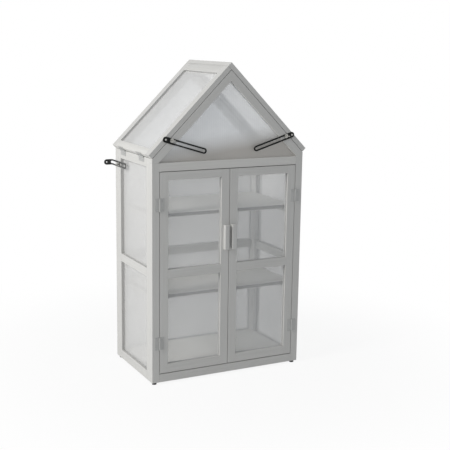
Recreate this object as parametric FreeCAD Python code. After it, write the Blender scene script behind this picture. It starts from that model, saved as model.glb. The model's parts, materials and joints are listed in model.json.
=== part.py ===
import FreeCAD, Part
import math
import os

from FreeCAD import Vector

# Wooden mini greenhouse cabinet: a four-post frame glazed with polycarbonate, two doors,
# two shelves, and a gabled roof whose two halves open on hinges at the eaves.
# Millimetres. X is the width, the doors face -Y, Z is up and the feet stand on Z = 0.

# Overall sizes
cabinet_width = 700.0
cabinet_depth = 410.0
ridge_height = 1330.0
roof_pitch = 45.0

# Frame sections
post_width = 32.0
post_depth = 60.0
rail_thickness = 28.0
front_rail_height = 34.0
gable_seat_drop = 18.0
sill_height = 35.0
side_top_rail_height = 37.0
side_bottom_rail_height = 39.0
mid_rail_height = 36.0
mid_rail_centre = 475.0
roof_seat_gap = 1.7

# Polycarbonate panes and the grooves that hold them
pane_thickness = 4.0
pane_recess = 12.0
groove_depth = 7.0
groove_side_gap = 0.2
groove_end_gap = 1.0

# Feet
foot_height = 10.0
foot_radius = 10.0
foot_top_radius = 8.5
foot_inset_x = 16.0
foot_inset_y = 17.0
foot_pin_radius = 3.0
foot_pin_length = 14.0
foot_pin_gap = 0.1

# Floor, shelves and the battens under them
floor_thickness = 12.0
shelf_thickness = 18.0
lower_shelf_top = 380.0
upper_shelf_top = 722.0
shelf_front_setback = 26.0
shelf_edge_radius = 3.0
board_gap = 1.0
batten_width = 15.0
batten_height = 20.0

# Doors
door_thickness = 22.0
door_edge_gap = 2.0
door_end_gap = 3.0
door_stile_width = 37.0
door_top_rail_height = 33.0
door_bottom_rail_height = 38.0
door_mid_rail_height = 36.0
door_mid_rail_centre = 473.0
door_pane_recess = 9.0
door_stop_gap = 0.3
door_stop_height = 16.0
door_stop_length = 120.0
door_stop_thickness = 12.0
door_stop_lap = 9.0

# Door handles: upright wooden blocks
handle_width = 20.0
handle_projection = 18.0
handle_length = 105.0
handle_centre_height = 607.0
handle_edge_inset = 6.0
handle_edge_radius = 2.5

# Butt hinges
hinge_length = 54.0
hinge_plate = 1.5
hinge_knuckle_radius = 3.0
hinge_knuckles = 5
hinge_pin_radius = 1.5
hinge_pin_gap = 0.05
hinge_pin_head_radius = 2.2
hinge_pin_head = 1.2
hinge_knuckle_end_gap = 0.3
hinge_knuckle_relief = 0.4
hinge_knuckle_standoff = 0.2
hinge_hole_radius = 2.0
hinge_hole_spacing = 33.0
door_hinge_leaf = 20.0
door_hinge_inset = 132.0
roof_hinge_leaf = 21.0
roof_hinge_offset = 102.0
roof_hinge_shift = 7.0

# Roof panels
roof_thickness = 20.0
roof_rafter_width = 40.0
roof_ridge_rail_width = 40.0
roof_eave_rail_width = 32.0
roof_pane_recess = 8.0
ridge_gap = 1.0
gable_gap = 2.0
gable_rafter_width = 31.5

# Slotted stays, their rivets and wing bolts
stay_length = 202.0
stay_width = 24.0
stay_thickness = 2.0
stay_slot_width = 10.8
stay_solid_tip = 31.0
stay_face_gap = 0.5
stay_rest_angle = -17.0
stay_pivot_from_eave = 93.5
stay_pivot_depth = 8.5
stay_bolt_from_foot = 111.52
stay_bolt_depth = 8.87
rivet_radius = 2.5
rivet_gap = 0.05
rivet_head_radius = 4.5
rivet_head = 1.6
rivet_shank = 14.0
bolt_radius = 1.5
bolt_hole_gap = 0.05
bolt_head_radius = 5.5
bolt_head = 2.5
bolt_tail = 3.0
washer_radius = 8.5
washer_thickness = 1.2
washer_gap = 0.2
wing_hub_radius = 4.5
wing_hub_height = 6.0
wing_span = 22.0
wing_height = 7.0
wing_thickness = 2.4

# Wall brackets: the same slotted bar, bent once
bracket_flange = 38.0
bracket_bend_radius = 8.0
bracket_hole_radius = 2.75
bracket_drop = 65.0
bracket_bolt_inset = 45.0
bracket_reach = 40.0

# Values worked out from the sizes above
half_width = cabinet_width / 2
half_depth = cabinet_depth / 2
pitch = math.radians(roof_pitch)
slope_drop = roof_thickness / math.cos(pitch)
eave_height = ridge_height - slope_drop - half_width * math.tan(pitch)
post_top = eave_height - roof_seat_gap
front_rail_top = post_top - gable_seat_drop
bracket_height = post_top - bracket_drop
post_inner_x = half_width - post_width
post_inner_y = half_depth - post_depth
rail_inner_x = half_width - rail_thickness
rail_inner_y = half_depth - rail_thickness
sill_top = foot_height + sill_height
side_bottom_rail_top = foot_height + side_bottom_rail_height
floor_top = side_bottom_rail_top
door_bottom = sill_top + door_end_gap
door_top = front_rail_top - front_rail_height - door_end_gap
door_hinge_edge = post_inner_x - door_edge_gap
door_meeting_edge = door_edge_gap / 2
door_back_y = -half_depth + door_thickness
hinge_axis_offset = hinge_knuckle_radius + hinge_knuckle_standoff
front_reach = half_depth + handle_projection
rear_reach = half_depth + bracket_reach + stay_thickness

# The origin is the floor point under the middle of the overall footprint
footprint_shift = Vector(0, (front_reach - rear_reach) / 2, 0)

SIDES = (("left", -1), ("right", 1))


def box(x0, x1, y0, y1, z0, z1):
    """A block between two opposite corners, given in any order."""
    low = Vector(min(x0, x1), min(y0, y1), min(z0, z1))
    return Part.makeBox(abs(x1 - x0), abs(y1 - y0), abs(z1 - z0), low)


def prism_xz(points, y0, y1):
    """An outline in the XZ plane carried from y0 to y1."""
    corners = [Vector(x, y0, z) for x, z in points]
    face = Part.Face(Part.makePolygon(corners + corners[:1]))
    return face.extrude(Vector(0, y1 - y0, 0))


def cylinder(start, direction, radius, length):
    return Part.makeCylinder(radius, length, start, direction)


def mirrored(shape):
    """The same piece on the other side of the YZ plane."""
    return shape.mirror(Vector(0, 0, 0), Vector(1, 0, 0))


def on_side(shape, side):
    """A piece drawn for the left side (-X), or its mirror image for the right."""
    return shape if side < 0 else mirrored(shape)


def export(name, *solids):
    """One file per named piece; identical small pieces share one as separate solids."""
    shape = solids[0] if len(solids) == 1 else Part.makeCompound(list(solids))
    shape = shape.copy()
    shape.translate(footprint_shift)
    shape.exportStep(f"parts/{name}.step")


def placed(shape, origin, along, wood):
    """A hinge part moved from its own frame: X along the leaf, -Y into the wood, Z the pin."""
    y_axis = wood * -1
    z_axis = along.cross(y_axis)
    matrix = FreeCAD.Matrix(
        along.x, y_axis.x, z_axis.x, origin.x,
        along.y, y_axis.y, z_axis.y, origin.y,
        along.z, y_axis.z, z_axis.z, origin.z,
        0, 0, 0, 1,
    )
    result = shape.copy()
    result.Placement = FreeCAD.Placement(matrix)
    return result


# Panes and grooves


def groove_y(x0, x1, z0, z1, y_face, inward):
    """The groove for a pane that stands parallel to the front."""
    near = y_face + inward * (pane_recess - groove_side_gap)
    far = y_face + inward * (pane_recess + pane_thickness + groove_side_gap)
    return box(x0, x1, near, far, z0, z1)


def pane_y(x0, x1, z0, z1, y_face, inward):
    near = y_face + inward * pane_recess
    return box(x0, x1, near, near + inward * pane_thickness, z0, z1)


def side_groove(y0, y1, z0, z1):
    near = -half_width + pane_recess - groove_side_gap
    far = -half_width + pane_recess + pane_thickness + groove_side_gap
    return box(near, far, y0, y1, z0, z1)


def side_pane(z_low, z_high):
    """A pane in the left side: it stands on its lower groove and has room above."""
    near = -half_width + pane_recess
    reach = post_inner_y + groove_depth - groove_end_gap
    return box(near, near + pane_thickness, -reach, reach,
               z_low - groove_depth, z_high + groove_depth - groove_end_gap)


mid_rail_low = mid_rail_centre - mid_rail_height / 2
mid_rail_high = mid_rail_centre + mid_rail_height / 2
side_top_rail_low = post_top - side_top_rail_height
rear_top_rail_low = front_rail_top - front_rail_height


# Frame


def post(rear):
    """A left corner post: notched for the gable rafter, with the grooves of the panes beside it."""
    outer_y = half_depth if rear else -half_depth
    inner_y = post_inner_y if rear else -post_inner_y
    notch_y = rail_inner_y if rear else -rail_inner_y
    body = box(-half_width, -post_inner_x, outer_y, inner_y, foot_height, post_top)
    body = body.cut(box(-half_width, -post_inner_x, outer_y, notch_y, front_rail_top, post_top))
    into = groove_depth if rear else -groove_depth
    for low, high in ((side_bottom_rail_top, mid_rail_low), (mid_rail_high, side_top_rail_low)):
        body = body.cut(side_groove(inner_y, inner_y + into, low - groove_depth, high + groove_depth))
    if rear:
        for low, high in ((side_bottom_rail_top, mid_rail_low), (mid_rail_high, rear_top_rail_low)):
            body = body.cut(groove_y(-post_inner_x - groove_depth, -post_inner_x,
                                     low - groove_depth, high + groove_depth, half_depth, -1))
        body = body.cut(cylinder(Vector(-half_width, bracket_bolt_y, bracket_height), Vector(1, 0, 0),
                                 bolt_radius + bolt_hole_gap, post_width))
    foot_y = half_depth - foot_inset_y if rear else -half_depth + foot_inset_y
    socket = cylinder(Vector(-half_width + foot_inset_x, foot_y, foot_height), Vector(0, 0, 1),
                      foot_pin_radius + foot_pin_gap, foot_pin_length + foot_pin_gap)
    return body.cut(socket)


def foot(x, y):
    """A round glide that widens downwards, with a pin that is driven into the post."""
    pad = Part.makeCone(foot_radius, foot_top_radius, foot_height, Vector(x, y, 0))
    pin = cylinder(Vector(x, y, foot_height), Vector(0, 0, 1), foot_pin_radius, foot_pin_length)
    return pad.fuse(pin).removeSplitter()


def side_rail(low, high, groove_below, groove_above):
    """A rail between the left posts."""
    body = box(-half_width, -rail_inner_x, -post_inner_y, post_inner_y, low, high)
    if groove_below:
        body = body.cut(side_groove(-post_inner_y, post_inner_y, low, low + groove_depth))
    if groove_above:
        body = body.cut(side_groove(-post_inner_y, post_inner_y, high - groove_depth, high))
    return body


def cross_rail(y_face, inward, low, high, groove_below, groove_above):
    """A rail between two posts at the front or the rear."""
    body = box(-post_inner_x, post_inner_x, y_face, y_face + inward * rail_thickness, low, high)
    if groove_below:
        body = body.cut(groove_y(-post_inner_x, post_inner_x, low, low + groove_depth, y_face, inward))
    if groove_above:
        body = body.cut(groove_y(-post_inner_x, post_inner_x, high - groove_depth, high, y_face, inward))
    return body


def rear_pane(low, high):
    reach = post_inner_x + groove_depth - groove_end_gap
    return pane_y(-reach, reach, low - groove_depth, high + groove_depth - groove_end_gap,
                  half_depth, -1)


# Gables

gable_line = ridge_height - slope_drop - gable_gap / math.cos(pitch)
gable_inner_line = gable_line - gable_rafter_width / math.cos(pitch)
stay_bolt_run = half_width / math.cos(pitch) - stay_bolt_from_foot
stay_bolt_x = -stay_bolt_run * math.cos(pitch) + stay_bolt_depth * math.sin(pitch)
stay_bolt_z = gable_line - stay_bolt_run * math.sin(pitch) - stay_bolt_depth * math.cos(pitch)


def under_roof(line, x):
    """Height of a line parallel to the roof slope at a distance x from the middle."""
    return line - abs(x) * math.tan(pitch)


def gable_rafter(y_face, inward):
    """The left gable rafter: plumb cut at the ridge, level foot in the post's notch."""
    foot_inner_x = (gable_inner_line - front_rail_top) / math.tan(pitch)
    outline = [
        (0, gable_line),
        (0, gable_inner_line),
        (-foot_inner_x, front_rail_top),
        (-half_width, front_rail_top),
        (-half_width, under_roof(gable_line, half_width)),
    ]
    body = prism_xz(outline, y_face, y_face + inward * rail_thickness)
    groove_line = gable_inner_line + groove_depth / math.cos(pitch)
    near = y_face + inward * (pane_recess - groove_side_gap)
    far = y_face + inward * (pane_recess + pane_thickness + groove_side_gap)
    groove = [
        (0, groove_line),
        (0, gable_inner_line - gable_rafter_width),
        (-post_inner_x, under_roof(gable_inner_line, post_inner_x) - gable_rafter_width),
        (-post_inner_x, under_roof(groove_line, post_inner_x)),
    ]
    return body.cut(prism_xz(groove, near, far))


def gable_pane(y_face, inward):
    """A pane whose three corners are cut to the rafters' grooves, the posts and the top rail."""
    line = gable_inner_line + (groove_depth - groove_end_gap) / math.cos(pitch)
    edge = post_inner_x - groove_end_gap
    bottom = front_rail_top - groove_depth
    outline = [(-edge, bottom), (edge, bottom), (edge, under_roof(line, edge)),
               (0, line), (-edge, under_roof(line, edge))]
    near = y_face + inward * pane_recess
    return prism_xz(outline, near, near + inward * pane_thickness)


# Floor, shelves and battens


def floor_board():
    """The floor lies inside the four bottom rails and is notched round the posts."""
    edge_x = rail_inner_x - board_gap
    edge_y = rail_inner_y - board_gap
    board = box(-edge_x, edge_x, -edge_y, edge_y, floor_top - floor_thickness, floor_top)
    for sx in (-1, 1):
        for sy in (-1, 1):
            notch = box(sx * (post_inner_x - board_gap), sx * half_width,
                        sy * (post_inner_y - board_gap), sy * half_depth,
                        floor_top - floor_thickness, floor_top)
            board = board.cut(notch)
    return board


def shelf(top):
    """A board with a rounded front edge, from behind the doors to the rear rails' line."""
    edge_x = post_inner_x - board_gap
    front = -half_depth + shelf_front_setback
    board = box(-edge_x, edge_x, front, rail_inner_y - board_gap, top - shelf_thickness, top)
    front_edges = [e for e in board.Edges
                   if abs(e.CenterOfMass.y - front) < 1e-6 and abs(e.CenterOfMass.x) < 1e-6]
    return board.makeFillet(shelf_edge_radius, front_edges)


def shelf_batten(top):
    """A batten on the inner faces of the two left posts."""
    return box(-post_inner_x, -post_inner_x + batten_width,
               -half_depth + shelf_front_setback, rail_inner_y - board_gap,
               top - shelf_thickness - batten_height, top - shelf_thickness)


def floor_batten():
    top = floor_top - floor_thickness
    return box(-rail_inner_x, -rail_inner_x + batten_width, -post_inner_y, post_inner_y,
               top - batten_height, top)


def door_stop():
    """A strip behind the front top rail that the two doors close against."""
    back = door_back_y + door_stop_gap
    low = front_rail_top - front_rail_height
    upright = box(-door_stop_length / 2, door_stop_length / 2, -rail_inner_y,
                  -rail_inner_y + door_stop_thickness, low - door_stop_lap, low + door_stop_height)
    lip = box(-door_stop_length / 2, door_stop_length / 2, back, -rail_inner_y,
              low - door_stop_lap, low - groove_side_gap)
    return upright.fuse(lip).removeSplitter()


# Hinges


def knuckle_span(index):
    """Start and length of one knuckle along the pin, measured from the hinge's middle."""
    pitch_length = hinge_length / hinge_knuckles
    start = -hinge_length / 2 + index * pitch_length
    return start + hinge_knuckle_end_gap / 2, pitch_length - hinge_knuckle_end_gap


def hinge_leaf(width, first):
    """A leaf with every second knuckle. X runs along the leaf, -Y into the wood, Z is the pin."""
    plate = box(0, width, -hinge_axis_offset, -hinge_axis_offset + hinge_plate,
                -hinge_length / 2, hinge_length / 2)
    for index in range(hinge_knuckles):
        start, length = knuckle_span(index)
        if index % 2 != first:
            relief = cylinder(Vector(0, 0, start - hinge_knuckle_end_gap), Vector(0, 0, 1),
                              hinge_knuckle_radius + hinge_knuckle_relief,
                              length + 2 * hinge_knuckle_end_gap)
            plate = plate.cut(relief)
    for index in range(first, hinge_knuckles, 2):
        start, length = knuckle_span(index)
        plate = plate.fuse(cylinder(Vector(0, 0, start), Vector(0, 0, 1),
                                    hinge_knuckle_radius, length))
    bore = cylinder(Vector(0, 0, -hinge_length), Vector(0, 0, 1),
                    hinge_pin_radius + hinge_pin_gap, 2 * hinge_length)
    plate = plate.cut(bore)
    for z in (-hinge_hole_spacing / 2, hinge_hole_spacing / 2):
        centre = Vector((width + hinge_knuckle_radius) / 2, -hinge_axis_offset - 1, z)
        plate = plate.cut(cylinder(centre, Vector(0, 1, 0), hinge_hole_radius, hinge_plate + 2))
    return plate.removeSplitter()


def hinge_pin():
    """The pin with a head at each end, in the hinge's own frame."""
    half = hinge_length / 2
    pin = cylinder(Vector(0, 0, -half), Vector(0, 0, 1), hinge_pin_radius, hinge_length)
    for z in (-half - hinge_pin_head, half):
        pin = pin.fuse(cylinder(Vector(0, 0, z), Vector(0, 0, 1), hinge_pin_head_radius, hinge_pin_head))
    return pin.removeSplitter()


def door_hinge_axes():
    """Where the two hinge pins of the left door stand."""
    x = -(post_inner_x + door_hinge_edge) / 2
    y = -half_depth - hinge_axis_offset
    return [Vector(x, y, z) for z in (door_bottom + door_hinge_inset, door_top - door_hinge_inset)]


def roof_hinge_axes():
    """Where the two hinge pins of the left roof panel lie, clear of the rail and the eave."""
    x = -half_width - hinge_axis_offset
    z = eave_height - hinge_axis_offset * math.tan(pitch / 2)
    return [Vector(x, roof_hinge_shift + y, z) for y in (-roof_hinge_offset, roof_hinge_offset)]


def door_leaf(origin, direction):
    first = 0 if direction < 0 else 1
    return placed(hinge_leaf(door_hinge_leaf, first), origin, Vector(direction, 0, 0), Vector(0, 1, 0))


def roof_rail_leaf(origin):
    return placed(hinge_leaf(roof_hinge_leaf, 0), origin, Vector(0, 0, -1), Vector(1, 0, 0))


def roof_panel_leaf(origin):
    along = Vector(-math.sin(pitch), 0, math.cos(pitch))
    wood = Vector(math.cos(pitch), 0, math.sin(pitch))
    return placed(hinge_leaf(roof_hinge_leaf, 1), origin, along, wood)


def fixed_hinge_parts():
    """Leaves and pins that stay on the frame, for the left side."""
    solids = []
    for origin in door_hinge_axes():
        solids.append(door_leaf(origin, -1))
        solids.append(placed(hinge_pin(), origin, Vector(-1, 0, 0), Vector(0, 1, 0)))
    for origin in roof_hinge_axes():
        solids.append(roof_rail_leaf(origin))
        solids.append(placed(hinge_pin(), origin, Vector(0, 0, -1), Vector(1, 0, 0)))
    return solids


# Doors


def door_groove(x0, x1, z0, z1):
    near = -half_depth + door_pane_recess - groove_side_gap
    far = -half_depth + door_pane_recess + pane_thickness + groove_side_gap
    return box(x0, x1, near, far, z0, z1)


door_pane_left = -door_hinge_edge + door_stile_width
door_pane_right = -door_meeting_edge - door_stile_width
door_mid_low = door_mid_rail_centre - door_mid_rail_height / 2
door_mid_high = door_mid_rail_centre + door_mid_rail_height / 2
door_openings = (
    (door_bottom + door_bottom_rail_height, door_mid_low),
    (door_mid_high, door_top - door_top_rail_height),
)


def door_stile(x0, x1, pane_edge):
    """An upright of the left door, grooved along its inner edge for both panes."""
    body = box(x0, x1, -half_depth, door_back_y, door_bottom, door_top)
    into = groove_depth if pane_edge == x0 else -groove_depth
    for low, high in door_openings:
        body = body.cut(door_groove(pane_edge, pane_edge + into, low - groove_depth, high + groove_depth))
    return body


def door_rail(low, high, groove_below, groove_above):
    body = box(door_pane_left, door_pane_right, -half_depth, door_back_y, low, high)
    if groove_below:
        body = body.cut(door_groove(door_pane_left, door_pane_right, low, low + groove_depth))
    if groove_above:
        body = body.cut(door_groove(door_pane_left, door_pane_right, high - groove_depth, high))
    return body


def door_pane(low, high):
    reach = groove_depth - groove_end_gap
    near = -half_depth + door_pane_recess
    return box(door_pane_left - reach, door_pane_right + reach, near, near + pane_thickness,
               low - groove_depth, high + reach)


def door_handle():
    """An upright block with its front and long edges eased, seated on the meeting stile."""
    right = -door_meeting_edge - handle_edge_inset
    block = box(right - handle_width, right, -half_depth - handle_projection, -half_depth,
                handle_centre_height - handle_length / 2, handle_centre_height + handle_length / 2)
    eased = [e for e in block.Edges if e.CenterOfMass.y < -half_depth - 1e-6]
    return block.makeFillet(handle_edge_radius, eased)


def make_doors():
    for name, side in SIDES:
        pieces = {
            "hinge_stile": door_stile(-door_hinge_edge, door_pane_left, door_pane_left),
            "meeting_stile": door_stile(door_pane_right, -door_meeting_edge, door_pane_right),
            "top_rail": door_rail(door_top - door_top_rail_height, door_top, True, False),
            "mid_rail": door_rail(door_mid_low, door_mid_high, True, True),
            "bottom_rail": door_rail(door_bottom, door_bottom + door_bottom_rail_height, False, True),
            "handle": door_handle(),
        }
        for piece, shape in pieces.items():
            export(f"{name}_door_{piece}", on_side(shape, side))
        export(f"{name}_door_panes", *[on_side(door_pane(*span), side) for span in door_openings])
        leaves = [on_side(door_leaf(origin, 1), side) for origin in door_hinge_axes()]
        export(f"{name}_door_hinge_leaves", *leaves)


# Roof panels


def slope_point(s, d):
    """A point of the left slope: s down the slope from the ridge line, d into its thickness."""
    x = -s * math.cos(pitch) + d * math.sin(pitch)
    z = ridge_height - s * math.sin(pitch) - d * math.cos(pitch)
    return x, z


slope_length = (half_width + roof_thickness * math.sin(pitch)) / math.cos(pitch)
stay_pivot_x, stay_pivot_z = slope_point(slope_length - stay_pivot_from_eave, stay_pivot_depth)
right_ridge_end = [(0.0, 0.0), (roof_thickness / math.tan(2 * pitch), roof_thickness)]
left_ridge_start = (roof_thickness + ridge_gap) / math.sin(2 * pitch)


def slope_block(s0, s1, d0, d1, y0, y1):
    """A block laid on the left slope."""
    corners = [slope_point(s0, d0), slope_point(s1, d0), slope_point(s1, d1), slope_point(s0, d1)]
    return prism_xz(corners, y0, y1)


def ridge_cut(laps_over):
    """What the ridge joint takes off a panel: it laps over the other one, or butts under it."""
    far = 4 * roof_thickness
    if laps_over:
        line = ridge_height
        return prism_xz([(0, line), (far, under_roof(line, far)),
                         (far, line + far), (0, line + far)], -cabinet_depth, cabinet_depth)
    line = ridge_height - slope_drop - ridge_gap / math.cos(pitch)
    reach_x = far / math.tan(pitch)
    return prism_xz([(-reach_x, line + far), (reach_x, line - far), (reach_x, line + 3 * far),
                     (-reach_x, line + 3 * far)], -cabinet_depth, cabinet_depth)


def roof_panel(laps_over):
    """The pieces of one roof panel, drawn for the left slope, whose frame is 20 mm thick."""
    start = -2 * roof_thickness
    cut = ridge_cut(laps_over)
    top = 0.0 if laps_over else left_ridge_start
    rail_end = top + roof_ridge_rail_width
    eave_start = slope_length - roof_eave_rail_width
    inner_y = half_depth - roof_rafter_width
    reach = groove_depth - groove_end_gap
    groove = slope_block(rail_end - groove_depth, eave_start + groove_depth,
                         roof_pane_recess - groove_side_gap,
                         roof_pane_recess + pane_thickness + groove_side_gap,
                         -inner_y - groove_depth, inner_y + groove_depth)
    return {
        "front_rafter": slope_block(start, slope_length, 0, roof_thickness,
                                    -half_depth, -inner_y).cut(cut).cut(groove),
        "rear_rafter": slope_block(start, slope_length, 0, roof_thickness,
                                   inner_y, half_depth).cut(cut).cut(groove),
        "ridge_rail": slope_block(start, rail_end, 0, roof_thickness,
                                  -inner_y, inner_y).cut(cut).cut(groove),
        "eave_rail": slope_block(eave_start, slope_length, 0, roof_thickness,
                                 -inner_y, inner_y).cut(groove),
        "pane": slope_block(rail_end - reach, eave_start + groove_depth, roof_pane_recess,
                            roof_pane_recess + pane_thickness, -inner_y - reach, inner_y + reach),
    }


def make_roof():
    """The right panel laps over the left one at the ridge, and each can open on its own."""
    for name, side in SIDES:
        pieces = roof_panel(laps_over=side > 0)
        pin_hole = cylinder(Vector(stay_pivot_x, -half_depth, stay_pivot_z), Vector(0, 1, 0),
                            rivet_radius + rivet_gap, rivet_shank + rivet_gap)
        pieces["front_rafter"] = pieces["front_rafter"].cut(pin_hole)
        for piece, shape in pieces.items():
            export(f"{name}_roof_{piece}", on_side(shape, side))
        leaves = [on_side(roof_panel_leaf(origin), side) for origin in roof_hinge_axes()]
        export(f"{name}_roof_hinge_leaves", *leaves)


# Stays, wing bolts and wall brackets

bar_tip = stay_width / 2
stay_front_y = -half_depth - stay_face_gap - stay_thickness
bracket_bolt_y = half_depth - bracket_bolt_inset


def slotted_bar():
    """A flat bar lying along +X in the XZ plane: round ends, rivet hole at the origin, long slot."""
    span = stay_length - stay_width
    bar = box(0, span, 0, stay_thickness, -bar_tip, bar_tip)
    for x in (0, span):
        bar = bar.fuse(cylinder(Vector(x, 0, 0), Vector(0, 1, 0), bar_tip, stay_thickness))
    slot_radius = stay_slot_width / 2
    slot_start = stay_solid_tip - bar_tip + slot_radius
    slot_end = span + bar_tip - (stay_width - stay_slot_width) / 2 - slot_radius
    bar = bar.cut(box(slot_start, slot_end, 0, stay_thickness, -slot_radius, slot_radius))
    for x in (slot_start, slot_end):
        bar = bar.cut(cylinder(Vector(x, 0, 0), Vector(0, 1, 0), slot_radius, stay_thickness))
    return bar.cut(cylinder(Vector(0, 0, 0), Vector(0, 1, 0), rivet_radius, stay_thickness)).removeSplitter()


def roof_stay():
    """The left stay with the rivet that turns in the roof rafter."""
    bar = slotted_bar()
    bar.rotate(Vector(0, 0, 0), Vector(0, 1, 0), -stay_rest_angle)
    bar.translate(Vector(stay_pivot_x, stay_front_y, stay_pivot_z))
    head_y = stay_front_y - rivet_head
    head = cylinder(Vector(stay_pivot_x, head_y, stay_pivot_z), Vector(0, 1, 0), rivet_head_radius, rivet_head)
    shank = cylinder(Vector(stay_pivot_x, stay_front_y, stay_pivot_z), Vector(0, 1, 0), rivet_radius,
                     -half_depth - stay_front_y + rivet_shank)
    return bar.fuse(head).fuse(shank).removeSplitter()


def wing_bolt(grip):
    """Bolt, washer and wing nut along +Y: the washer bears on Y = 0 and the grip lies behind it."""
    tail = washer_thickness + wing_hub_height + bolt_tail
    shank = cylinder(Vector(0, -tail, 0), Vector(0, 1, 0), bolt_radius, tail + grip)
    head = cylinder(Vector(0, grip, 0), Vector(0, 1, 0), bolt_head_radius, bolt_head)
    bolt = shank.fuse(head).removeSplitter()
    bore = cylinder(Vector(0, -2 * tail, 0), Vector(0, 1, 0), bolt_radius + bolt_hole_gap, 3 * tail)
    washer = cylinder(Vector(0, -washer_thickness, 0), Vector(0, 1, 0), washer_radius, washer_thickness)
    hub_y = -washer_thickness - wing_hub_height
    nut = cylinder(Vector(0, hub_y, 0), Vector(0, 1, 0), wing_hub_radius, wing_hub_height)
    for way in (-1, 1):
        outline = [(0.0, 0.0), (way * wing_span / 2, -wing_height), (way * wing_span / 2, -wing_height - 4),
                   (way * wing_span / 3, -wing_height - 6), (0.0, -wing_hub_height)]
        corners = [Vector(x, -washer_thickness + y, -wing_thickness / 2) for x, y in outline]
        wing = Part.Face(Part.makePolygon(corners + corners[:1])).extrude(Vector(0, 0, wing_thickness))
        nut = nut.fuse(wing)
    return [bolt, washer.cut(bore), nut.cut(bore).removeSplitter()]


def stay_wing_bolt():
    """The left stay's bolt, through its slot and the front gable rafter."""
    front = stay_front_y - washer_gap
    solids = wing_bolt(-rail_inner_y - front)
    for solid in solids:
        solid.translate(Vector(stay_bolt_x, front, stay_bolt_z))
    return solids


def bracket_wing_bolt():
    """The left bracket's bolt, through its slot and the rear post."""
    outer = -half_width - stay_face_gap - stay_thickness - washer_gap
    solids = wing_bolt(-post_inner_x - outer)
    for solid in solids:
        solid.rotate(Vector(0, 0, 0), Vector(0, 0, 1), -90)
        solid.translate(Vector(outer, bracket_bolt_y, bracket_height))
    return solids


def wall_bracket():
    """The left bracket: a slotted leg beside the post, bent outwards to a flange for the wall."""
    inner_x = -half_width - stay_face_gap
    outer_x = inner_x - stay_thickness
    back = half_depth + bracket_reach + stay_thickness
    outer_radius = bracket_bend_radius + stay_thickness
    bend_length = math.pi / 2 * (bracket_bend_radius + stay_thickness / 2)
    leg = stay_length - bracket_flange - bend_length + outer_radius
    leg_end = back - outer_radius - leg
    tip_x = outer_x - bracket_bend_radius - (bracket_flange - outer_radius)
    bend_centre = Vector(outer_x - bracket_bend_radius, back - outer_radius, 0)

    def corner(angle, radius):
        return bend_centre + Vector(radius * math.cos(angle), radius * math.sin(angle), 0)

    def arc(radius, first, last):
        middle = (first + last) / 2
        return Part.Arc(corner(first, radius), corner(middle, radius), corner(last, radius)).toShape()

    quarter = math.pi / 2
    edges = [
        Part.LineSegment(Vector(inner_x, leg_end, 0), corner(0, outer_radius)).toShape(),
        arc(outer_radius, 0, quarter),
        Part.LineSegment(corner(quarter, outer_radius), Vector(tip_x, back, 0)).toShape(),
        Part.LineSegment(Vector(tip_x, back, 0), Vector(tip_x, back - stay_thickness, 0)).toShape(),
        Part.LineSegment(Vector(tip_x, back - stay_thickness, 0), corner(quarter, bracket_bend_radius)).toShape(),
        arc(bracket_bend_radius, quarter, 0),
        Part.LineSegment(corner(0, bracket_bend_radius), Vector(outer_x, leg_end, 0)).toShape(),
        Part.LineSegment(Vector(outer_x, leg_end, 0), Vector(inner_x, leg_end, 0)).toShape(),
    ]
    strip = Part.Face(Part.Wire(edges)).extrude(Vector(0, 0, stay_width))
    strip.translate(Vector(0, 0, bracket_height - bar_tip))
    leg_round = Vector(outer_x - 1, leg_end + bar_tip, bracket_height)
    flange_round = Vector(tip_x + bar_tip, back - stay_thickness - 1, bracket_height)
    for centre, way, end in ((leg_round, Vector(1, 0, 0), "leg"), (flange_round, Vector(0, 1, 0), "flange")):
        if end == "leg":
            corner_block = box(outer_x - 1, inner_x + 1, leg_end - 1, leg_end + bar_tip,
                               bracket_height - stay_width, bracket_height + stay_width)
        else:
            corner_block = box(tip_x - 1, tip_x + bar_tip, back - stay_thickness - 1, back + 1,
                               bracket_height - stay_width, bracket_height + stay_width)
        strip = strip.cut(corner_block.cut(cylinder(centre, way, bar_tip, stay_thickness + 2)))
    slot_radius = stay_slot_width / 2
    slot_end = leg_end + (stay_width - stay_slot_width) / 2 + slot_radius
    slot_top = back - outer_radius / 2
    slot = box(outer_x - bracket_bend_radius / 2, inner_x + 1, slot_end, slot_top,
               bracket_height - slot_radius, bracket_height + slot_radius)
    slot = slot.fuse(cylinder(Vector(outer_x - 1, slot_end, bracket_height), Vector(1, 0, 0),
                              slot_radius, stay_thickness + 2))
    slot = slot.fuse(cylinder(Vector(tip_x + stay_solid_tip + slot_radius, slot_top - 1, bracket_height),
                              Vector(0, 1, 0), slot_radius, outer_radius + 2))
    hole = cylinder(flange_round, Vector(0, 1, 0), bracket_hole_radius, stay_thickness + 2)
    return strip.cut(slot).cut(hole).removeSplitter()


# Assembly


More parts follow.
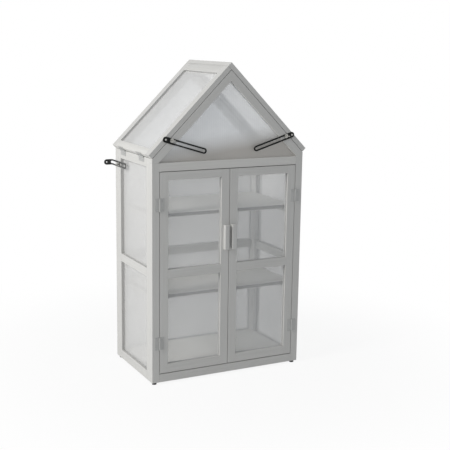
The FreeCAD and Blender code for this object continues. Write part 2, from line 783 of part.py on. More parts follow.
def make_frame():
    for name, side in SIDES:
        export(f"front_{name}_post", on_side(post(rear=False), side))
        export(f"rear_{name}_post", on_side(post(rear=True), side))
        export(f"{name}_top_rail", on_side(side_rail(side_top_rail_low, post_top, True, False), side))
        export(f"{name}_mid_rail", on_side(side_rail(mid_rail_low, mid_rail_high, True, True), side))
        export(f"{name}_bottom_rail",
               on_side(side_rail(foot_height, side_bottom_rail_top, False, True), side))
    stay_hole = cylinder(Vector(stay_bolt_x, -half_depth, stay_bolt_z), Vector(0, 1, 0),
                         bolt_radius + bolt_hole_gap, rail_thickness)
    export("front_top_rail", cross_rail(-half_depth, 1, front_rail_top - front_rail_height,
                                        front_rail_top, False, True))
    export("front_bottom_rail", cross_rail(-half_depth, 1, foot_height, sill_top, False, False))
    export("rear_top_rail", cross_rail(half_depth, -1, rear_top_rail_low, front_rail_top, True, True))
    export("rear_mid_rail", cross_rail(half_depth, -1, mid_rail_low, mid_rail_high, True, True))
    export("rear_bottom_rail", cross_rail(half_depth, -1, foot_height, side_bottom_rail_top, False, True))
    front_rafter = gable_rafter(-half_depth, 1).cut(stay_hole)
    rear_rafter = gable_rafter(half_depth, -1)
    export("front_gable_rafters", front_rafter, mirrored(front_rafter))
    export("rear_gable_rafters", rear_rafter, mirrored(rear_rafter))


def make_panes():
    spans = ((side_bottom_rail_top, mid_rail_low), (mid_rail_high, side_top_rail_low))
    left = [side_pane(low, high) for low, high in spans]
    export("side_panes", *left, *[mirrored(pane) for pane in left])
    export("rear_panes", rear_pane(side_bottom_rail_top, mid_rail_low),
           rear_pane(mid_rail_high, rear_top_rail_low))
    export("gable_panes", gable_pane(-half_depth, 1), gable_pane(half_depth, -1))


def make_inside():
    export("floor_board", floor_board())
    export("lower_shelf", shelf(lower_shelf_top))
    export("upper_shelf", shelf(upper_shelf_top))
    left = [floor_batten(), shelf_batten(lower_shelf_top), shelf_batten(upper_shelf_top)]
    export("battens", *left, *[mirrored(batten) for batten in left])
    export("door_stop", door_stop())


def make_hardware():
    x = half_width - foot_inset_x
    y = half_depth - foot_inset_y
    export("feet", *[foot(sx * x, sy * y) for sx in (-1, 1) for sy in (-1, 1)])
    fixed = fixed_hinge_parts()
    export("fixed_hinge_leaves", *fixed, *[mirrored(solid) for solid in fixed])
    bolts = stay_wing_bolt() + bracket_wing_bolt()
    export("wing_bolts", *bolts, *[mirrored(solid) for solid in bolts])
    for name, side in SIDES:
        export(f"{name}_roof_stay", on_side(roof_stay(), side))
        export(f"{name}_wall_bracket", on_side(wall_bracket(), side))


os.makedirs("parts", exist_ok=True)
make_frame()
make_panes()
make_inside()
make_doors()
make_roof()
make_hardware()
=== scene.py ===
# %% Load the frame
import json
import math

import bmesh
import bpy
import numpy as np
from mathutils import Matrix, Vector


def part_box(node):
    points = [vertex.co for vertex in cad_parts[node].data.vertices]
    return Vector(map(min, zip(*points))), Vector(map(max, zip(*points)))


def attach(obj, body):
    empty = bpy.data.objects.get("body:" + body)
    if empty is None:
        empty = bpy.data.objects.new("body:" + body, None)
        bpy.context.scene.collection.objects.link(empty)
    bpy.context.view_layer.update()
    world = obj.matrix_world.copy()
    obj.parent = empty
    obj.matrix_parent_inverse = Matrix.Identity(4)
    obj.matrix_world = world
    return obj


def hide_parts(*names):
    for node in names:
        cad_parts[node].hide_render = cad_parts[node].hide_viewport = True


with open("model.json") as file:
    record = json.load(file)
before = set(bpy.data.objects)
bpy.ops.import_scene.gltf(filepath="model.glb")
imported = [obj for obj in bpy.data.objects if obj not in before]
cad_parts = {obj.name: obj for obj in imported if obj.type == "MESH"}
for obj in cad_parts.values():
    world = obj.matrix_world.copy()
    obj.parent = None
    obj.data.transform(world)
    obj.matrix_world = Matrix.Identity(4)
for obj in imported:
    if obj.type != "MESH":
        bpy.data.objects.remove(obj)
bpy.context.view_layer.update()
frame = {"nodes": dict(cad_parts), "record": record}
nodes = frame["nodes"]

# %% [markdown]
# The object is a wooden mini greenhouse: a painted frame with translucent twin-wall panes.
# Its boards, panes and hinges already have their true shapes and places in the frame.
# This lesson gives them their finishes and adds the small things a joiner adds last.
# What several steps share is kept here, in metres. HALF_WIDTH is half the cabinet's width over
# its posts, and POST_FRONT is where the front of the posts lies.

# %% Shared numbers and helpers
MM = 0.001
SIDES = (("left", -1), ("right", 1))
HALF_WIDTH = 350 * MM
POST_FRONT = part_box("front_left_post")[0][1]


def add_object(name, data):
    """A new object in the scene, at the origin."""
    thing = bpy.data.objects.new(name, data)
    bpy.context.scene.collection.objects.link(thing)
    return thing


print("front of the posts at y =", round(POST_FRONT, 4))

# %% [markdown]
# Shader sums are easier to read as plain arithmetic than as chains of nodes.
# A Strand is one value on its way through a material, and each + or * adds one Math node.
# A Finish is a material being written, and its method add() makes any other node.

# %% A small language for materials


class Strand:
    """A value in a material. Sums on strands and numbers add Math nodes."""

    def __init__(self, finish, socket):
        self.finish = finish
        self.socket = socket

    def _sum(self, operation, first, second=None):
        values = {0: first} if second is None else {0: first, 1: second}
        return self.finish.add("ShaderNodeMath", {"operation": operation}, values)

    def __add__(self, other):
        return self._sum("ADD", self, other)

    def __radd__(self, other):
        return self._sum("ADD", other, self)

    def __sub__(self, other):
        return self._sum("SUBTRACT", self, other)

    def __rsub__(self, other):
        return self._sum("SUBTRACT", other, self)

    def __mul__(self, other):
        return self._sum("MULTIPLY", self, other)

    def __pow__(self, other):
        return self._sum("POWER", self, other)

    def __lt__(self, other):
        return self._sum("LESS_THAN", self, other)

    def __gt__(self, other):
        return self._sum("GREATER_THAN", self, other)

    def sine(self):
        return self._sum("SINE", self)


class Finish:
    """A material with a Principled surface, written one node at a time."""

    def __init__(self, name, **surface):
        self.material = bpy.data.materials.new(name)
        self.material.use_nodes = True
        self.tree = self.material.node_tree
        self.surface = self.tree.nodes["Principled BSDF"]
        for socket, value in surface.items():
            self.surface.inputs[socket.replace("_", " ")].default_value = value

    def add(self, kind, settings=None, sockets=None, out=0):
        """One node: its settings first, then a number, colour or Strand for each socket. The
        Strand that comes back is the output with the name or number out."""
        node = self.tree.nodes.new(kind)
        for key, value in (settings or {}).items():
            setattr(node, key, value)
        for key, value in (sockets or {}).items():
            if isinstance(value, Strand):
                self.tree.links.new(value.socket, node.inputs[key])
            else:
                node.inputs[key].default_value = value
        return Strand(self, node.outputs[out])

    def feed(self, socket, strand):
        """Lets a strand vary one socket of the surface."""
        self.tree.links.new(strand.socket, self.surface.inputs[socket])

    def coords(self):
        """Object coordinates, in metres."""
        return self.add("ShaderNodeTexCoord", out="Object")

    def place(self, turn=(0, 0, 0)):
        """Object coordinates, turned."""
        return self.add("ShaderNodeMapping", sockets={"Vector": self.coords(), "Rotation": turn})

    def stretch(self, where, scale):
        """Places drawn out or pushed together along each axis."""
        return self.add("ShaderNodeMapping", sockets={"Vector": where, "Scale": scale})

    def split(self, where):
        """The x, y and z of a place."""
        node = self.add("ShaderNodeSeparateXYZ", sockets={0: where}).socket.node
        return [Strand(self, output) for output in node.outputs]

    def ramp(self, value, start, end):
        """0 below start, 1 above end, and even in between."""
        node = self.add("ShaderNodeValToRGB", sockets={0: value}).socket.node
        for element, position in zip(node.color_ramp.elements, (start, end)):
            element.position = position
        return Strand(self, node.outputs[0])

    def cloud(self, where, scale, detail=3.0, roughness=0.55):
        """Soft noise between 0 and 1."""
        return self.add("ShaderNodeTexNoise", sockets={
            "Vector": where, "Scale": scale, "Detail": detail, "Roughness": roughness})

    def blend(self, factor, first, second):
        """A colour between two colours. For colours, a Mix node uses inputs 6 and 7 and output 2."""
        return self.add("ShaderNodeMix", {"data_type": "RGBA"}, {0: factor, 6: first, 7: second}, out=2)

    def bump(self, height, strength, distance):
        """Lets a height ripple the surface."""
        normal = self.add("ShaderNodeBump", sockets={
            "Height": height, "Strength": strength, "Distance": distance})
        self.feed("Normal", normal)


def dimmed(colour, share):
    """A colour with only a share of its light."""
    return tuple(c * share for c in colour[:3]) + (1,)


def any_ray(tree, kinds):
    """A socket that is 1 for a ray of any of these kinds and 0 for every other ray."""
    ray = tree.nodes.new("ShaderNodeLightPath")
    found = ray.outputs[kinds[0]]
    for kind in kinds[1:]:
        either = tree.nodes.new("ShaderNodeMath")
        either.operation = "MAXIMUM"
        tree.links.new(found, either.inputs[0])
        tree.links.new(ray.outputs[kind], either.inputs[1])
        found = either.outputs[0]
    return found


def mix_shaders(tree, output, factor, first, second):
    """Sends a mix of two shaders to a tree's output node."""
    mix = tree.nodes.new("ShaderNodeMixShader")
    for place, socket in enumerate((factor, first, second)):
        tree.links.new(socket, mix.inputs[place])
    tree.links.new(mix.outputs[0], tree.nodes[output].inputs["Surface"])


print("one language, two classes:", Strand.__name__, Finish.__name__)

# %% [markdown]
# The wood has one thin coat of pale grey paint, so its grain still shows as faint lines.
# The grain runs along each board, so the same recipe is turned for uprights, rails and rafters.
# Stretched noise gives the long lines, a broad noise gives the uneven coat. The eaves are a little
# lighter than the rest in the photograph, so they get a lighter copy of the paint, painted light
# for the light they catch, and so does the front top rail, though the photograph shows that one
# no lighter than the posts.
# Each wood has two colours: where the coat is full, and where it is thin over the grain.

# %% Painted wood
PAINT = (0.590, 0.588, 0.578, 1)
PAINT_THIN = (0.480, 0.475, 0.460, 1)
# The next two colours are painted light: the same paint made lighter for the wood inside, standing for the
# light that comes in through the panes.
LIT_INNER = (0.760, 0.748, 0.720, 1)
INNER_THIN = (0.630, 0.616, 0.585, 1)
# The next two colours are painted shade, for the shade on the shelves' front edges.
SHELF_EDGE_SHADE = (0.205, 0.200, 0.190, 1)
EDGE_THIN = (0.167, 0.162, 0.152, 1)
# The next two colours are painted light: the wood's paint made lighter, for the eaves and the front top rail.
LIT_PAINT = (0.650, 0.646, 0.632, 1)
LIT_PAINT_THIN = (0.530, 0.524, 0.505, 1)
# The next two colours are painted shade: the paint made darker for the battens inside, so that no lamp-lit
# streak shows on them through the panes.
SHADED_BATTEN = (0.420, 0.412, 0.395, 1)
BATTEN_THIN = (0.340, 0.332, 0.315, 1)
LINE_SCALE, PORE_SCALE, WARP_SCALE, COAT_SCALE = 150.0, 620.0, 9.0, 5.0
LINE_STRETCH, WARP_STRETCH = 0.035, 0.2
LINE_SHARE, PORE_SHARE, WARP_SHARE = 0.65, 0.35, 0.2
SHOWS_THROUGH = (0.38, 0.80)
WEAR, MORE_WEAR = 0.25, 0.55
SATIN, ROUGHER_WORN, ROUGHER_COAT = 0.46, 0.16, 0.05
PAINT_GLOSS = 0.35
GRAIN_BUMP, GRAIN_HEIGHT = 0.16, 0.6 * MM
QUARTER = math.pi / 2


def painted_wood(name, turn, thick=PAINT, worn=PAINT_THIN, both_sides=False):
    """Paint over grain. In the turned frame the grain runs along Z; both_sides mirrors it in x."""
    wood = Finish(name, Specular_IOR_Level=PAINT_GLOSS)
    if both_sides:
        folded = wood.add("ShaderNodeVectorMath", {"operation": "ABSOLUTE"}, {0: wood.coords()})
        board = wood.add("ShaderNodeMapping", sockets={"Vector": folded, "Rotation": turn})
    else:
        board = wood.place(turn)
    along = wood.stretch(board, (1, 1, LINE_STRETCH))
    warp = wood.cloud(wood.stretch(board, (1, 1, WARP_STRETCH)), WARP_SCALE, 2.0)
    lines = wood.cloud(along, LINE_SCALE, 4.0, 0.6)
    pores = wood.cloud(along, PORE_SCALE, 2.0, 0.7)
    coat = wood.cloud(board, COAT_SCALE)
    grain = lines * LINE_SHARE + pores * PORE_SHARE + warp * WARP_SHARE
    amount = wood.ramp(grain, *SHOWS_THROUGH) * (WEAR + coat * MORE_WEAR)
    wood.feed("Base Color", wood.blend(amount, thick, worn))
    wood.feed("Roughness", SATIN + amount * ROUGHER_WORN + coat * ROUGHER_COAT)
    wood.bump(grain, GRAIN_BUMP, GRAIN_HEIGHT)
    return wood.material


grain_up = painted_wood("painted_wood_upright", (0, 0, 0))
grain_across = painted_wood("painted_wood_across", (0, QUARTER, 0))
grain_deep = painted_wood("painted_wood_deep", (QUARTER, 0, 0))
grain_left_slope = painted_wood("painted_wood_left_slope", (0, -QUARTER / 2, 0))
grain_right_slope = painted_wood("painted_wood_right_slope", (0, QUARTER / 2, 0))
grain_gable = painted_wood("painted_wood_gable", (0, QUARTER / 2, 0), both_sides=True)
# Painted light: the eaves and the front top rail get the lighter copy of the paint.
lit_paint_across = painted_wood("painted_light_wood_across", (0, QUARTER, 0), LIT_PAINT, LIT_PAINT_THIN)
lit_paint_deep = painted_wood("painted_light_wood_deep", (QUARTER, 0, 0), LIT_PAINT, LIT_PAINT_THIN)
# Painted light: shelves, floor board and door stops get the lighter inner paint.
lit_inner_across = painted_wood("inner_wood_painted_light_across", (0, QUARTER, 0), LIT_INNER, INNER_THIN)
# Painted shade: the battens get the darker copy of the paint.
shaded_batten_wood = painted_wood("inner_batten_wood", (QUARTER, 0, 0), SHADED_BATTEN, BATTEN_THIN)
# Painted shade: the shelves' upright faces get a dark copy of the paint.
shelf_edge = painted_wood("sawn_shelf_edge", (0, QUARTER, 0), SHELF_EDGE_SHADE, EDGE_THIN)
print("painted wood in six directions, a painted_light coat in two, inner wood, battens and painted_shade edges")

# %% [markdown]
# The panes are twin-wall sheets: two thin skins with upright webs between them, 10 mm apart.
# A sheet veils what is behind it but lets most of the light in, softened. So its surface is pale
# and partly see-through, and a ray of light on its way to the wood inside meets a thinner veil
# than an eye does. The webs show only as soft pale lines, and they ripple the skin a little.
# The rear gable pane is veiled more than the front one, and the front one is painted darker and
# warmer at its foot, painted shade for the dim inside seen through it there, to follow the photograph.

# %% Twin-wall panes
WEB_PITCH = 10 * MM
WEB_SHARPNESS = 6
WEB_SHARE, HAZE_SHARE = 0.25, 0.75
WEB_BUMP, WEB_HEIGHT = 0.06, 0.15 * MM
HAZE_SCALE, HAZE_VEIL = 5.0, 0.06
DULLED = 0.93
SKIN_ROUGHNESS, ROUGHER_HAZE = 0.36, 0.10
SKIN_IOR = 1.5
LET_IN = 0.93
LIGHT_ON_ITS_WAY = ("Is Shadow Ray", "Is Diffuse Ray")


def twin_wall(name, direction, veil, tint, web_veil=0.02, gloss=0.35, rear=0.0, foot=None):
    """Webs are soft lines across one direction; veil is how opaque the sheet looks, and rear
    is what it gains behind the middle of the greenhouse, where a dim room stands beyond it.
    foot is (height, lean, reach, gain, colour): below a height that leans with x, a sheet at the
    front is painted darker over a reach, painted shade, and grows less see-through there."""
    sheet = Finish(name, Specular_IOR_Level=gloss, IOR=SKIN_IOR)
    coords = sheet.place()
    x, y, z = sheet.split(coords)
    run = sheet.add("ShaderNodeVectorMath", {"operation": "DOT_PRODUCT"}, {0: coords, 1: direction}, "Value")
    swell = (run * (2 * math.pi / WEB_PITCH)).sine()
    web = (swell * 0.5 + 0.5) ** WEB_SHARPNESS
    haze = sheet.cloud(coords, HAZE_SCALE, 2.0)
    colour = sheet.blend(haze * HAZE_SHARE + web * WEB_SHARE, dimmed(tint, DULLED), tint)
    seen = veil + (y > 0) * rear + web * web_veil + (haze - 0.5) * HAZE_VEIL
    # Painted shade: below the foot's height the colour turns to a darker one and the sheet is less
    # see-through.
    if foot:
        height, lean, reach, gain, shade = foot
        low = sheet.add("ShaderNodeMapRange", sockets={
            "Value": z - x * lean, "From Min": height - reach, "From Max": height,
            "To Min": 1.0, "To Max": 0.0})
        low = low * (y < 0)
        colour = sheet.blend(low, colour, shade)
        seen = seen + low * gain
    sheet.feed("Base Color", colour)
    light = Strand(sheet, any_ray(sheet.tree, LIGHT_ON_ITS_WAY))
    sheet.feed("Alpha", seen * (1 - light * LET_IN))
    sheet.feed("Roughness", SKIN_ROUGHNESS + haze * ROUGHER_HAZE)
    sheet.bump(swell, WEB_BUMP, WEB_HEIGHT)
    return sheet.material


ACROSS, DEEP = (1, 0, 0), (0, 1, 0)
# The colour at the gable pane's foot is painted shade.
GABLE_FOOT_SHADE = (1.050, 0.13, 0.085, 0.45, (0.47, 0.45, 0.425, 1))
# The panes are one kind of sheet, but each has its own tint: the gable panes the lightest, painted light for
# the half shade they stand in, and the side panes the darkest, painted shade against the lamp that faces
# them.
pane_door = twin_wall("twin_wall_door", ACROSS, 0.26, (0.76, 0.77, 0.78, 1), web_veil=0.0)
pane_rear = twin_wall("twin_wall_rear", ACROSS, 0.56, (0.82, 0.82, 0.82, 1))
pane_gable = twin_wall("twin_wall_gable", ACROSS, 0.38, (0.92, 0.94, 0.97, 1), gloss=0.9, rear=0.24,
                       foot=GABLE_FOOT_SHADE)
pane_side = twin_wall("twin_wall_side", DEEP, 0.54, (0.645, 0.645, 0.645, 1))
pane_roof = twin_wall("twin_wall_roof", DEEP, 0.42, (0.77, 0.77, 0.775, 1))
print("twin-wall pitch:", WEB_PITCH)

# %% [markdown]
# The stays and wall brackets are black powder-coated steel, with a fine orange peel.
# Their bolts and washers are zinc plated and bright. The butt hinges are enamelled in a grey
# somewhat darker than the wood's paint, and are smoother. The feet are hard black plastic.

# %% Metals and plastic
PEEL_SCALE, SHEEN_SCALE = 900.0, 40.0
PEEL_HEIGHT = 0.2 * MM
SHADED, SHEEN_CHANGE = 0.86, 0.16


def coated(name, colour, roughness, peel, metallic=0.0, gloss=0.5):
    """A coated or plated surface: one colour with fine unevenness in gloss and height."""
    coat = Finish(name, Metallic=metallic, Specular_IOR_Level=gloss)
    where = coat.place()
    fine = coat.cloud(where, PEEL_SCALE, 2.0)
    broad = coat.cloud(where, SHEEN_SCALE)
    coat.feed("Base Color", coat.blend(broad, colour, dimmed(colour, SHADED)))
    coat.feed("Roughness", roughness + (broad - 0.5) * SHEEN_CHANGE)
    coat.bump(fine, peel, PEEL_HEIGHT)
    return coat.material


black_coat = coated("black_powder_coat", (0.006, 0.007, 0.007, 1), 0.50, 0.22, gloss=0.18)
bracket_coat = coated("black_bracket_coat", (0.010, 0.011, 0.011, 1), 0.36, 0.18, gloss=0.75)
zinc = coated("bright_zinc", (0.44, 0.44, 0.42, 1), 0.36, 0.10, metallic=1.0)
hinge_paint = coated("grey_hinge_enamel", (0.44, 0.445, 0.44, 1), 0.42, 0.12, metallic=0.28)
foot_plastic = coated("black_plastic", (0.015, 0.015, 0.016, 1), 0.55, 0.25)
print("metals and plastic ready")

# %% [markdown]
# Every node now gets the finish of what it is made of. The grain follows each board's length.

# %% Dress the nodes
DRESS = (
    (pane_roof, "roof_pane"),
    (pane_door, "door_panes"),
    (pane_gable, "gable_panes"),
    (pane_side, "side_panes"),
    (pane_rear, "rear_panes"),
    (black_coat, "roof_stay"),
    (bracket_coat, "wall_bracket"),
    (zinc, "wing_bolts"),
    (hinge_paint, "hinge_leaves"),
    (foot_plastic, "feet"),
    (grain_left_slope, "left_roof_front_rafter", "left_roof_rear_rafter"),
    (grain_right_slope, "right_roof_front_rafter", "right_roof_rear_rafter"),
    (grain_gable, "gable_rafters"),
    (lit_paint_across, "front_top_rail"),
    (lit_paint_deep, "eave_rail"),
    (shaded_batten_wood, "battens"),
    (lit_inner_across, "shelf", "floor_board", "door_stop"),
    (grain_deep, "ridge_rail", "left_top_rail", "left_mid_rail", "left_bottom_rail"),
    (grain_deep, "right_top_rail", "right_mid_rail", "right_bottom_rail"),
    (grain_up, "post", "stile", "handle"),
)


def finish_for(name):
    """The finish of the first row whose words the name holds, else wood with its grain across."""
    return next((row[0] for row in DRESS if any(words in name for words in row[1:])), grain_across)


for name, piece in nodes.items():
    for slot in piece.material_slots:
        slot.material = finish_for(name)
print("dressed", len(nodes), "nodes")

# %% [markdown]
# A joiner takes the sharp corners off every board before painting, and paint rounds them further.
# The nodes' boards have sharp edges, so each wooden one is copied, its loose triangles are joined,
# its flat faces are made whole again, and a Bevel modifier eases the corners that are left.
# The copy rides on the same body and stands for the node. A shelf's upright faces get a darker
# finish, painted shade for the shade that falls on its front edge.

# %% Ease the edges of the wood
EASE, EASE_STEPS = 1.0 * MM, 2
SAME_PLACE = 1e-6
FLAT = math.radians(0.3)
CORNER = math.radians(30)
UPRIGHT = 0.4
body_of = {node: body for body, names in frame["record"]["behaviour"]["bodies"].items() for node in names}
slot_of = {row["node"]: row["material_slot"] for row in frame["record"]["subparts"]}
WOOD = [name for name in nodes if slot_of[name] in ("painted_wood", "inner_wood")]


def mend(mesh, whole_faces):
    """Joins a mesh's doubled corners and, on request, makes one face of flat neighbours."""
    work = bmesh.new()
    work.from_mesh(mesh)
    bmesh.ops.remove_doubles(work, verts=work.verts, dist=SAME_PLACE)
    if whole_faces:
        bmesh.ops.dissolve_limit(work, angle_limit=FLAT, verts=work.verts, edges=work.edges)
    work.to_mesh(mesh)
    work.free()


for name in WOOD:
    mesh = nodes[name].data.copy()
    mend(mesh, whole_faces=True)
    piece = add_object(f"{name}_eased", mesh)
    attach(piece, body_of[name])
    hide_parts(name)
    ease = piece.modifiers.new("eased edges", "BEVEL")
    ease.width = EASE
    ease.segments = EASE_STEPS
    ease.limit_method = "ANGLE"
    ease.angle_limit = CORNER
    # Painted shade: a shelf's upright faces take the dark edge finish.
    if name.endswith("_shelf"):
        mesh.materials.append(shelf_edge)
        normals = np.empty(len(mesh.polygons) * 3)
        mesh.polygons.foreach_get("normal", normals)
        stands_upright = np.abs(normals.reshape(-1, 3)[:, 2]) < UPRIGHT
        mesh.polygons.foreach_set("material_index", stands_upright.astype(np.int32))
print("eased boards:", len(WOOD))

# %% [markdown]
# Screws hold the hinges and close the frame's joints. A screw head is a low dome with a cross
# pressed into it, a surface over a disc: the height falls from the middle to the rim, and drops
# along two crossed strips. One set of heads is worked out at once and placed by its screws' axes.

# %% Screw heads
RINGS = np.linspace(0, 1, 7)
TURNS = np.linspace(0, 2 * math.pi, 24, endpoint=False)
ARM, ARM_SLOPE = 0.17, 0.07
ARM_END, ARM_END_SLOPE = 0.62, 0.12
CROSS_DEPTH = 0.33
TURN_BETWEEN = 0.7


def head_shape(radius, crown, skirt, crossed):
    """Height over the unit disc: crown * (1 - r^2) less a cross of two strips; then a skirt down
    to a flat underside at -skirt, which closes the shell. The cross is as deep as CROSS_DEPTH of
    the radius and as long as ARM_END of it; ARM is half a strip's width, and both have slopes."""
    r, a = np.meshgrid(RINGS, TURNS, indexing="ij")
    x, y = r * np.cos(a), r * np.sin(a)
    narrow = np.minimum(np.abs(x), np.abs(y))
    cross = np.clip((ARM - narrow) / ARM_SLOPE, 0, 1) * np.clip((ARM_END - r) / ARM_END_SLOPE, 0, 1)
    z = crown * (1 - r ** 2) - crossed * CROSS_DEPTH * radius * cross
    top = np.stack([x * radius, y * radius, z], axis=-1).reshape(-1, 3)
    rim = top[-len(TURNS):] + [0, 0, -skirt]
    under = rim * [0, 0, 1]
    return np.vstack([top, rim, under])


def ring_faces():
    """Quads between neighbouring rings. The first and the last ring are each a single point drawn
    many times: the middle of the dome and the middle of the underside."""
    count, rows = len(TURNS), len(RINGS) + 1
    i = np.arange(rows)[:, None] * count
    j = np.arange(count)[None, :]
    k = (j + 1) % count
    return np.stack([i + j, i + count + j, i + count + k, i + k], axis=-1).reshape(-1, 4)


def screws(name, body, places, radius, crown=0.35 * MM, skirt=0.9 * MM, crossed=True):
    """One piece of many heads. places: (point, axis) with the axis pointing out of the wood. Each
    head's cross is turned a little further than the last one's."""
    shape, faces = head_shape(radius, crown, skirt, crossed), ring_faces()
    points, quads = [], []
    for index, (point, axis) in enumerate(places):
        out = Vector(axis).normalized()
        side = out.orthogonal().normalized()
        turned = Matrix.Rotation(TURN_BETWEEN * index, 3, "Z")
        turn = Matrix((side, out.cross(side), out)).transposed() @ turned
        points.append(shape @ np.array(turn).T + np.array(point))
        quads.append(faces + index * len(shape))
    mesh = bpy.data.meshes.new(name)
    mesh.from_pydata(np.vstack(points).tolist(), [], np.vstack(quads).tolist())
    mend(mesh, whole_faces=False)
    mesh.materials.append(zinc)
    piece = add_object(name, mesh)
    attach(piece, body)


# %% [markdown]
# Each hinge leaf has two holes. The leaves' boxes say where the hinges are: a door's two leaves
# end 27 mm above and below their middles, and the holes stand 16.5 mm from each middle. A pin's
# axis lies 3.2 mm off the wood. A leaf is 1.5 mm thick, and a head's rim lies halfway through it.

# %% Hinge screws
HINGE_HALF, HOLE_HALF = 27 * MM, 16.5 * MM
HOLE_IN_DOOR_LEAF, HOLE_IN_ROOF_LEAF = 11.5 * MM, 12 * MM
DOOR_PIN_X, ROOF_PIN_X = 317 * MM, 353.2 * MM
KNUCKLE = 3 * MM
STANDOFF = 3.2 * MM
HINGE_HEAD = 1.85 * MM
RIM_HEIGHT = 0.75 * MM


def along_hinges(low, high):
    """Where the four holes of two hinges lie along a line from low to high."""
    middles = (low + HINGE_HALF, high - HINGE_HALF)
    return [middle + way for middle in middles for way in (-HOLE_HALF, HOLE_HALF)]


for side, sign in SIDES:
    low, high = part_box(f"{side}_door_hinge_leaves")
    axis_x, axis_y = sign * DOOR_PIN_X, low[1] + KNUCKLE
    heights = along_hinges(low[2], high[2])
    wood_y = axis_y + STANDOFF
    for body, along in ((f"{side}_door", -sign), ("cabinet", sign)):
        holes = [((axis_x + along * HOLE_IN_DOOR_LEAF, wood_y - RIM_HEIGHT, z), (0, -1, 0)) for z in heights]
        screws(f"{side}_door_hinge_screws_{'door' if along == -sign else 'post'}", body, holes, HINGE_HEAD)
    low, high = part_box(f"{side}_roof_hinge_leaves")
    depths = along_hinges(low[1], high[1])
    axis_x, axis_z = sign * ROOF_PIN_X, low[2] + KNUCKLE
    rail = [((sign * (HALF_WIDTH + RIM_HEIGHT), y, axis_z - HOLE_IN_ROOF_LEAF), (sign, 0, 0)) for y in depths]
    screws(f"{side}_roof_hinge_screws_rail", "cabinet", rail, HINGE_HEAD)
    slope = math.sqrt(0.5)
    off = STANDOFF - RIM_HEIGHT
    x = axis_x + sign * (HOLE_IN_ROOF_LEAF - off) * slope
    z = axis_z + (HOLE_IN_ROOF_LEAF + off) * slope
    panel = [((x, y, z), (sign * slope, 0, -slope)) for y in depths]
    screws(f"{side}_roof_hinge_screws_panel", f"{side}_roof", panel, HINGE_HEAD)
print("hinge screws placed")

# %% [markdown]
# The stays turn on rivets whose bright heads show in the photograph, and small screws close the
# frame: in the gable rafters near their tops, and through the tops of the front posts. Their
# rims are bedded 0.1 mm in the wood, and the crowns stand out of it.

# %% Rivet heads and frame screws
PIVOT_X, PIVOT_Z = 292.0 * MM, 1026.0 * MM
RIVET_HEAD, RIVET_CROWN, RIVET_SKIRT = 3.9 * MM, 0.5 * MM, 0.6 * MM
FRAME_HEAD, FRAME_CROWN, FRAME_SKIRT = 2.0 * MM, 0.25 * MM, 0.5 * MM
BEDDED = 0.1 * MM
GABLE_SPOTS = ((47 * MM, 1246 * MM), (55 * MM, 1208 * MM), (108 * MM, 1148 * MM))
POST_SPOT_X, POST_SPOT_Z = 337 * MM, 930 * MM
SIDE_SPOT_IN, SIDE_SPOT_Z = 17 * MM, 933 * MM

for side, sign in SIDES:
    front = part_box(f"{side}_roof_stay")[0][1]
    screws(f"{side}_stay_rivet_head", f"{side}_stay", [((sign * PIVOT_X, front, PIVOT_Z), (0, -1, 0))],
           RIVET_HEAD, RIVET_CROWN, RIVET_SKIRT, crossed=False)

gable_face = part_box("front_gable_rafters")[0][1]
signs = (-1, 1)
closing = [((sign * x, gable_face + BEDDED, z), (0, -1, 0)) for x, z in GABLE_SPOTS for sign in signs]
closing += [((sign * POST_SPOT_X, POST_FRONT + BEDDED, POST_SPOT_Z), (0, -1, 0)) for sign in signs]
closing += [((sign * (HALF_WIDTH - BEDDED), POST_FRONT + SIDE_SPOT_IN, SIDE_SPOT_Z), (sign, 0, 0))
            for sign in signs]
screws("frame_screws", "cabinet", closing, FRAME_HEAD, FRAME_CROWN, FRAME_SKIRT)
print("frame screws:", len(closing))

# %% [markdown]
# The floor is pale and plain. Looked at, it is white like the room around it, and near the
# greenhouse it keeps a faint shadow so that the greenhouse stands on something.

# %% Floor
LOOKED_AT = ("Is Camera Ray", "Is Glossy Ray", "Is Transmission Ray")
FLOOR_TONES = ((0.80, 0.80, 0.80, 1), (0.82, 0.82, 0.82, 1))
TONE_SCALE, MATT = 2.0, 0.9
SHADOW = 0.10
SHADOW_FULL, SHADOW_GONE = 0.5, 1.6
REACH = 14.0


def pale_stage(name):
    """Looked at, it is mostly white light; what is left of it is a surface that takes shadows."""
    stage = Finish(name, Roughness=MATT)
    stage.feed("Base Color", stage.blend(stage.cloud(stage.place(), TONE_SCALE), *FLOOR_TONES))
    white = stage.tree.nodes.new("ShaderNodeEmission")
    white.inputs["Strength"].default_value = 1.0
    seen = Strand(stage, any_ray(stage.tree, LOOKED_AT))
    away = stage.add("ShaderNodeVectorMath", {"operation": "LENGTH"}, {0: stage.place()}, "Value")
    fade = stage.add("ShaderNodeMapRange", {"interpolation_type": "SMOOTHSTEP"}, {
        "Value": away, "From Min": SHADOW_FULL, "From Max": SHADOW_GONE, "To Min": SHADOW, "To Max": 0.0})
    whiteness = (seen * (1 - fade)).socket
    mix_shaders(stage.tree, "Material Output", whiteness, stage.surface.outputs[0], white.outputs[0])
    return stage.material


sheet = bpy.data.meshes.new("floor")
corners = [(-REACH, -REACH, 0), (REACH, -REACH, 0), (REACH, REACH, 0), (-REACH, REACH, 0)]
sheet.from_pydata(corners, [], [(0, 1, 2, 3)])
sheet.materials.append(pale_stage("pale_floor"))
floor = add_object("floor", sheet)
print("floor reach:", REACH)

# %% [markdown]
# The light is a large soft one on the left, as in a shop picture, with the front in half shade.
# The world fills in evenly. Looked at, the world is white.

# %% Light
FILL_COLOUR, FILL_STRENGTH = (0.945, 0.975, 1, 1), 0.43
LAMP_PLACE, LAMP_AIM = Vector((-4.5, -0.80, 2.8)), Vector((0, 0, 0.8))
LAMP_SIZE, LAMP_POWER, LAMP_TINT = (1.3, 2.6), 172, (1, 0.985, 0.955)

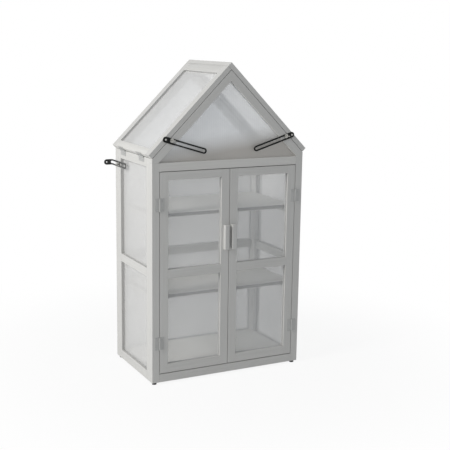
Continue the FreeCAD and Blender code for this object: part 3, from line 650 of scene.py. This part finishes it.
world = bpy.data.worlds.new("room")
bpy.context.scene.world = world
world.use_nodes = True
sky = world.node_tree
fill = sky.nodes["Background"]
fill.inputs["Color"].default_value = FILL_COLOUR
fill.inputs["Strength"].default_value = FILL_STRENGTH
shown = sky.nodes.new("ShaderNodeBackground")
shown.inputs["Color"].default_value = (1, 1, 1, 1)
shown.inputs["Strength"].default_value = 1.0
mix_shaders(sky, "World Output", any_ray(sky, LOOKED_AT), fill.outputs[0], shown.outputs[0])

lamp = bpy.data.lights.new("window_left", "AREA")
lamp.shape = "RECTANGLE"
lamp.size, lamp.size_y = LAMP_SIZE
lamp.energy = LAMP_POWER
lamp.color = LAMP_TINT
window = add_object("window_left", lamp)
window.location = LAMP_PLACE
window.rotation_euler = (LAMP_AIM - LAMP_PLACE).to_track_quat("-Z", "Y").to_euler()
print("one lamp and a white room")

# %% [markdown]
# The camera stands where the photographer stood: it was found by fitting the labelled sizes to
# the corners of the cabinet. It looks at the front from the left and a little down. The fit gives
# the focal length in pixels of a picture 450 pixels wide, and the lens follows from it.

# %% Camera
CAMERA_PLACE = Vector((-1.7788, -3.6369, 1.4282))
YAW = math.radians(27.212)
PITCH = math.radians(11.323)
ROLL = math.radians(0.817)
PICTURE, FOCAL_PIXELS, SENSOR = 450, 936.8, 36
FAR = 100
ahead = Vector((math.sin(YAW) * math.cos(PITCH), math.cos(YAW) * math.cos(PITCH), -math.sin(PITCH)))
level = Vector((math.cos(YAW), -math.sin(YAW), 0))
above = level.cross(ahead)
right = math.cos(ROLL) * level + math.sin(ROLL) * above
top = math.cos(ROLL) * above - math.sin(ROLL) * level
view = bpy.data.cameras.new("camera")
view.sensor_width = SENSOR
view.lens = SENSOR * FOCAL_PIXELS / PICTURE
view.clip_end = FAR
camera = add_object("camera", view)
turn = Matrix((right, top, -ahead)).transposed()
camera.matrix_world = Matrix.Translation(CAMERA_PLACE) @ turn.to_4x4()
bpy.context.scene.camera = camera
bpy.context.scene.view_settings.view_transform = "Standard"
print("lens:", round(view.lens, 2))
